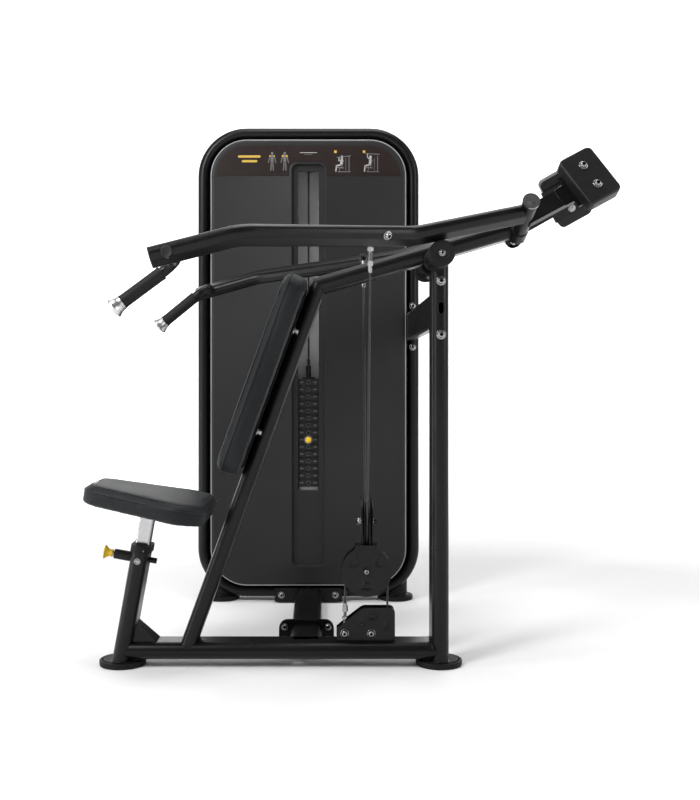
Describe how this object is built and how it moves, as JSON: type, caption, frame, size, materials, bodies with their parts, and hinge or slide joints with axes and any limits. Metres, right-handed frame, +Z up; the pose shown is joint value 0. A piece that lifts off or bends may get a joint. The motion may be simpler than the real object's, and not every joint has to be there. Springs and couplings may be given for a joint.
{
  "type": "shoulder press machine",
  "caption": "Selectorised shoulder press with converging counterweighted arms, an adjustable seat, a back pad and a cable-driven weight stack in a shrouded tower.",
  "frame": {"origin": "on the floor under the rear post, on the frame's centre plane", "axes": "+X to the rear of the machine, -X to the seat's front, +Y to the weight tower, +Z up"},
  "size_m": [1.4669, 1.4872, 1.74],
  "materials": {
    "frame": "satin black powder coat",
    "shroud": "satin charcoal powder coat",
    "rubber": "matte black",
    "chrome": "polished",
    "steel": "turned steel",
    "pad": "charcoal upholstery over foam",
    "yellow": "satin yellow",
    "placard": "satin dark panel",
    "plates": "satin black",
    "pulley": "black nylon",
    "cable": "black coated wire rope",
    "aluminium": "polished"
  },
  "bodies": {
    "frame": {"base_tube": "frame", "seat_post_tube": "frame", "back_support_tube": "frame", "upper_frame_tube": "frame", "rear_post": "frame", "foot_plates": "frame", "foot_cups": "rubber", "stop_stubs": "frame", "stop_bumpers": "rubber", "pivot_carrier": "frame", "arm_axles": "chrome", "connector_stub": "frame", "connector_beam": "frame", "upper_brace": "frame", "frame_bolts": "chrome", "tower_loop": "frame", "front_shroud": "shroud", "rear_shroud": "shroud", "placard": "placard", "guide_rods": "chrome", "stack_stand": "frame", "stack_cushions": "rubber", "lower_plates": "plates", "pulley_brackets": "frame", "pulley_housing": "frame", "cable_anchor": "chrome", "lift_cable": "cable", "anchor_cable_run": "cable", "base_cable_run": "cable", "stack_cable_run": "cable", "seat_collar": "rubber", "pin_barrel": "rubber", "back_pad": "pad", "backing_board": "rubber"},
    "near_arm": {"near_arm": "frame", "near_grip": "rubber", "near_grip_cap": "aluminium", "near_counterweight": "frame"},
    "far_arm": {"far_arm": "frame", "far_grip": "rubber", "far_grip_cap": "aluminium", "far_counterweight": "frame"},
    "near_cable_end": {"near_rod_end": "chrome", "near_press_cable": "cable"},
    "far_cable_end": {"far_rod_end": "chrome", "far_press_cable": "cable"},
    "pulley_block": {"block_bracket": "frame", "block_cables": "cable"},
    "upper_block_pulley": {"block_upper_pulley": "pulley"},
    "lower_block_pulley": {"block_lower_pulley": "pulley"},
    "base_pulley": {"base_pulley": "pulley"},
    "turning_pulley": {"turning_pulley": "pulley"},
    "tower_pulley": {"tower_pulley": "pulley"},
    "top_pulley": {"top_pulley": "pulley"},
    "weight_stack": {"lifted_plates": "plates", "selector_rod": "steel"},
    "selector_pin": {"selector_pin": "yellow"},
    "seat": {"seat_post": "chrome", "seat_pad": "pad"},
    "pop_pin": {"pop_pin_knob": "yellow"}
  },
  "joints": [
    {"name": "near_arm_pivot", "type": "hinge", "parent": "frame", "child": "near_arm", "pos_m": [0.217, -0.155, 1.253], "axis": [0, 0.9397, -0.342], "range_deg": [0, 30]},
    {"name": "far_arm_pivot", "type": "hinge", "parent": "frame", "child": "far_arm", "pos_m": [0.217, 0.155, 1.253], "axis": [0, 0.9397, 0.342], "range_deg": [0, 30]},
    {"name": "near_cable_pivot", "type": "hinge", "parent": "near_arm", "child": "near_cable_end", "pos_m": [-0.205, -0.212, 1.18], "axis": [0.1681, 0.9655, -0.199], "range_deg": [-29, 0.01]},
    {"name": "far_cable_pivot", "type": "hinge", "parent": "far_arm", "child": "far_cable_end", "pos_m": [-0.205, 0.212, 1.18], "axis": [-0.1681, 0.9655, 0.199], "range_deg": [-29, 0.01]},
    {"name": "pulley_block_lift", "type": "slide", "parent": "frame", "child": "pulley_block", "axis": [0, 0, 1], "range_m": [0, 0.1984], "deforming": ["anchor_cable_run", "base_cable_run"]},
    {"name": "stack_lift", "type": "slide", "parent": "frame", "child": "weight_stack", "axis": [0, 0, 1], "range_m": [0, 0.3968], "deforming": ["stack_cable_run"]},
    {"name": "lower_block_spin", "type": "hinge", "parent": "pulley_block", "child": "lower_block_pulley", "pos_m": [-0.206, 0, 0.266], "axis": [0, -1, 0], "range_deg": [0, 190]},
    {"name": "base_spin", "type": "hinge", "parent": "frame", "child": "base_pulley", "pos_m": [-0.193, 0, 0.092], "axis": [0, 1, 0], "range_deg": [0, 485]},
    {"name": "turning_spin", "type": "hinge", "parent": "frame", "child": "turning_pulley", "pos_m": [-0.356, 0.022, 0.045], "axis": [0, 0, 1], "range_deg": [0, 1034]},
    {"name": "tower_spin", "type": "hinge", "parent": "frame", "child": "tower_pulley", "pos_m": [-0.378, 0.913, 0.09], "axis": [-1, 0, 0], "range_deg": [0, 506]},
    {"name": "top_spin", "type": "hinge", "parent": "frame", "child": "top_pulley", "pos_m": [-0.378, 0.913, 1.64], "axis": [-1, 0, 0], "range_deg": [0, 506]},
    {"name": "upper_block_spin", "type": "hinge", "parent": "pulley_block", "child": "upper_block_pulley", "pos_m": [-0.206, 0, 0.406], "axis": [1, 0, 0], "range_deg": [-20, 20]},
    {"name": "seat_height", "type": "slide", "parent": "frame", "child": "seat", "axis": [0.1754, 0, 0.9845], "range_m": [-0.06, 0.08]},
    {"name": "pop_pin_pull", "type": "slide", "parent": "frame", "child": "pop_pin", "axis": [-0.9845, 0, 0.1754], "range_m": [0, 0.012], "stiffness_N_per_m": 800},
    {"name": "selector_pin_pull", "type": "slide", "parent": "weight_stack", "child": "selector_pin", "axis": [0, -1, 0], "range_m": [0, 0.07]}
  ],
  "couplings": [
    {"joint": "far_arm_pivot", "follows": "near_arm_pivot", "ratio": 1},
    {"joint": "near_cable_pivot", "follows": "near_arm_pivot", "ratio": -0.9645},
    {"joint": "far_cable_pivot", "follows": "near_arm_pivot", "ratio": -0.9645},
    {"joint": "pulley_block_lift", "follows": "near_arm_pivot", "m_per_rad": 0.3787},
    {"joint": "stack_lift", "follows": "near_arm_pivot", "m_per_rad": 0.7574},
    {"joint": "lower_block_spin", "follows": "near_arm_pivot", "ratio": 6.3117},
    {"joint": "base_spin", "follows": "near_arm_pivot", "ratio": 16.115},
    {"joint": "turning_spin", "follows": "near_arm_pivot", "ratio": 34.427},
    {"joint": "tower_spin", "follows": "near_arm_pivot", "ratio": 16.831},
    {"joint": "top_spin", "follows": "near_arm_pivot", "ratio": 16.831}
  ]
}
